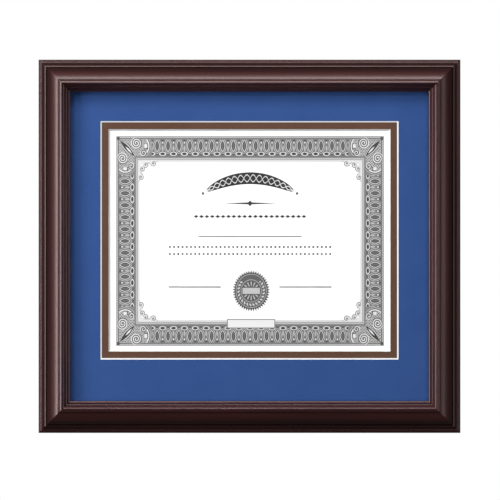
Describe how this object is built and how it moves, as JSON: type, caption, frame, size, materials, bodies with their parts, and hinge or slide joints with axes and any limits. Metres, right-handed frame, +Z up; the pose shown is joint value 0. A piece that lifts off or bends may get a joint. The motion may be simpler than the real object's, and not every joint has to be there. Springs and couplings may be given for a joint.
{
  "type": "certificate frame",
  "caption": "Wall-hung certificate frame: stepped dark wood moulding, glass, a blue mat over a brown mat, a bordered certificate, turn buttons behind and D-ring hangers.",
  "frame": {"origin": "middle of the frame, on the plane of the wall that the bumpers rest against", "axes": "+X to the viewer's right along the width, +Y into the wall, +Z up; the front faces -Y"},
  "size_m": [0.3598, 0.026, 0.3184],
  "materials": {
    "moulding_wood": "satin stained and lacquered hardwood",
    "glazing": "clear float glass",
    "blue_mat_paper": "matt laid mat paper",
    "brown_mat_paper": "matt mat paper",
    "mat_core": "white bevel-cut board",
    "certificate_paper": "smooth printed paper",
    "pocket_film": "clear film",
    "mount_board": "plain board",
    "backing_board": "hardboard, smooth side out",
    "v_nail_steel": "bright strip steel",
    "brass_plate": "brass-plated steel, tumbled",
    "nickel_plate": "nickel-plated steel, tumbled",
    "bumper_rubber": "matt moulded rubber"
  },
  "bodies": {
    "frame": {"top_rail": "moulding_wood", "bottom_rail": "moulding_wood", "left_rail": "moulding_wood", "right_rail": "moulding_wood", "v_nails_top_left": "v_nail_steel", "v_nails_top_right": "v_nail_steel", "v_nails_bottom_left": "v_nail_steel", "v_nails_bottom_right": "v_nail_steel", "glazing_sheet": "glazing", "top_mat_paper": "blue_mat_paper", "top_mat_core": "mat_core", "inner_mat_paper": "brown_mat_paper", "inner_mat_core": "mat_core", "certificate": "certificate_paper", "mounting_corners": "pocket_film", "mount_board": "mount_board", "backing_board": "backing_board", "turn_button_screws": "brass_plate", "hanger_strap_left": "nickel_plate", "wall_bumper_left": "bumper_rubber", "hanger_strap_right": "nickel_plate", "wall_bumper_right": "bumper_rubber", "hanger_screws": "nickel_plate"},
    "turn_button_top_left": {"turn_button_top_left": "brass_plate"},
    "turn_button_top_right": {"turn_button_top_right": "brass_plate"},
    "turn_button_bottom_left": {"turn_button_bottom_left": "brass_plate"},
    "turn_button_bottom_right": {"turn_button_bottom_right": "brass_plate"},
    "turn_button_left": {"turn_button_left": "brass_plate"},
    "turn_button_right": {"turn_button_right": "brass_plate"},
    "hanger_ring_left": {"hanger_ring_left": "nickel_plate"},
    "hanger_ring_right": {"hanger_ring_right": "nickel_plate"}
  },
  "joints": [
    {"name": "turn_button_top_left_swivel", "type": "hinge", "parent": "frame", "child": "turn_button_top_left", "pos_m": [-0.085, -0.0039, 0.14605], "axis": [0, 1, 0], "continuous": true},
    {"name": "turn_button_top_right_swivel", "type": "hinge", "parent": "frame", "child": "turn_button_top_right", "pos_m": [0.085, -0.0039, 0.14605], "axis": [0, 1, 0], "continuous": true},
    {"name": "turn_button_bottom_left_swivel", "type": "hinge", "parent": "frame", "child": "turn_button_bottom_left", "pos_m": [-0.085, -0.0039, -0.14605], "axis": [0, 1, 0], "continuous": true},
    {"name": "turn_button_bottom_right_swivel", "type": "hinge", "parent": "frame", "child": "turn_button_bottom_right", "pos_m": [0.085, -0.0039, -0.14605], "axis": [0, 1, 0], "continuous": true},
    {"name": "turn_button_left_swivel", "type": "hinge", "parent": "frame", "child": "turn_button_left", "pos_m": [-0.16675, -0.0039, -0.025], "axis": [0, 1, 0], "continuous": true},
    {"name": "turn_button_right_swivel", "type": "hinge", "parent": "frame", "child": "turn_button_right", "pos_m": [0.16675, -0.0039, -0.025], "axis": [0, 1, 0], "continuous": true},
    {"name": "hanger_ring_left_swing", "type": "hinge", "parent": "frame", "child": "hanger_ring_left", "pos_m": [-0.16933, -0.0026, 0.062], "axis": [-1, 0, 0], "range_deg": [-3, 175]},
    {"name": "hanger_ring_right_swing", "type": "hinge", "parent": "frame", "child": "hanger_ring_right", "pos_m": [0.16933, -0.0026, 0.062], "axis": [-1, 0, 0], "range_deg": [-3, 175]}
  ]
}
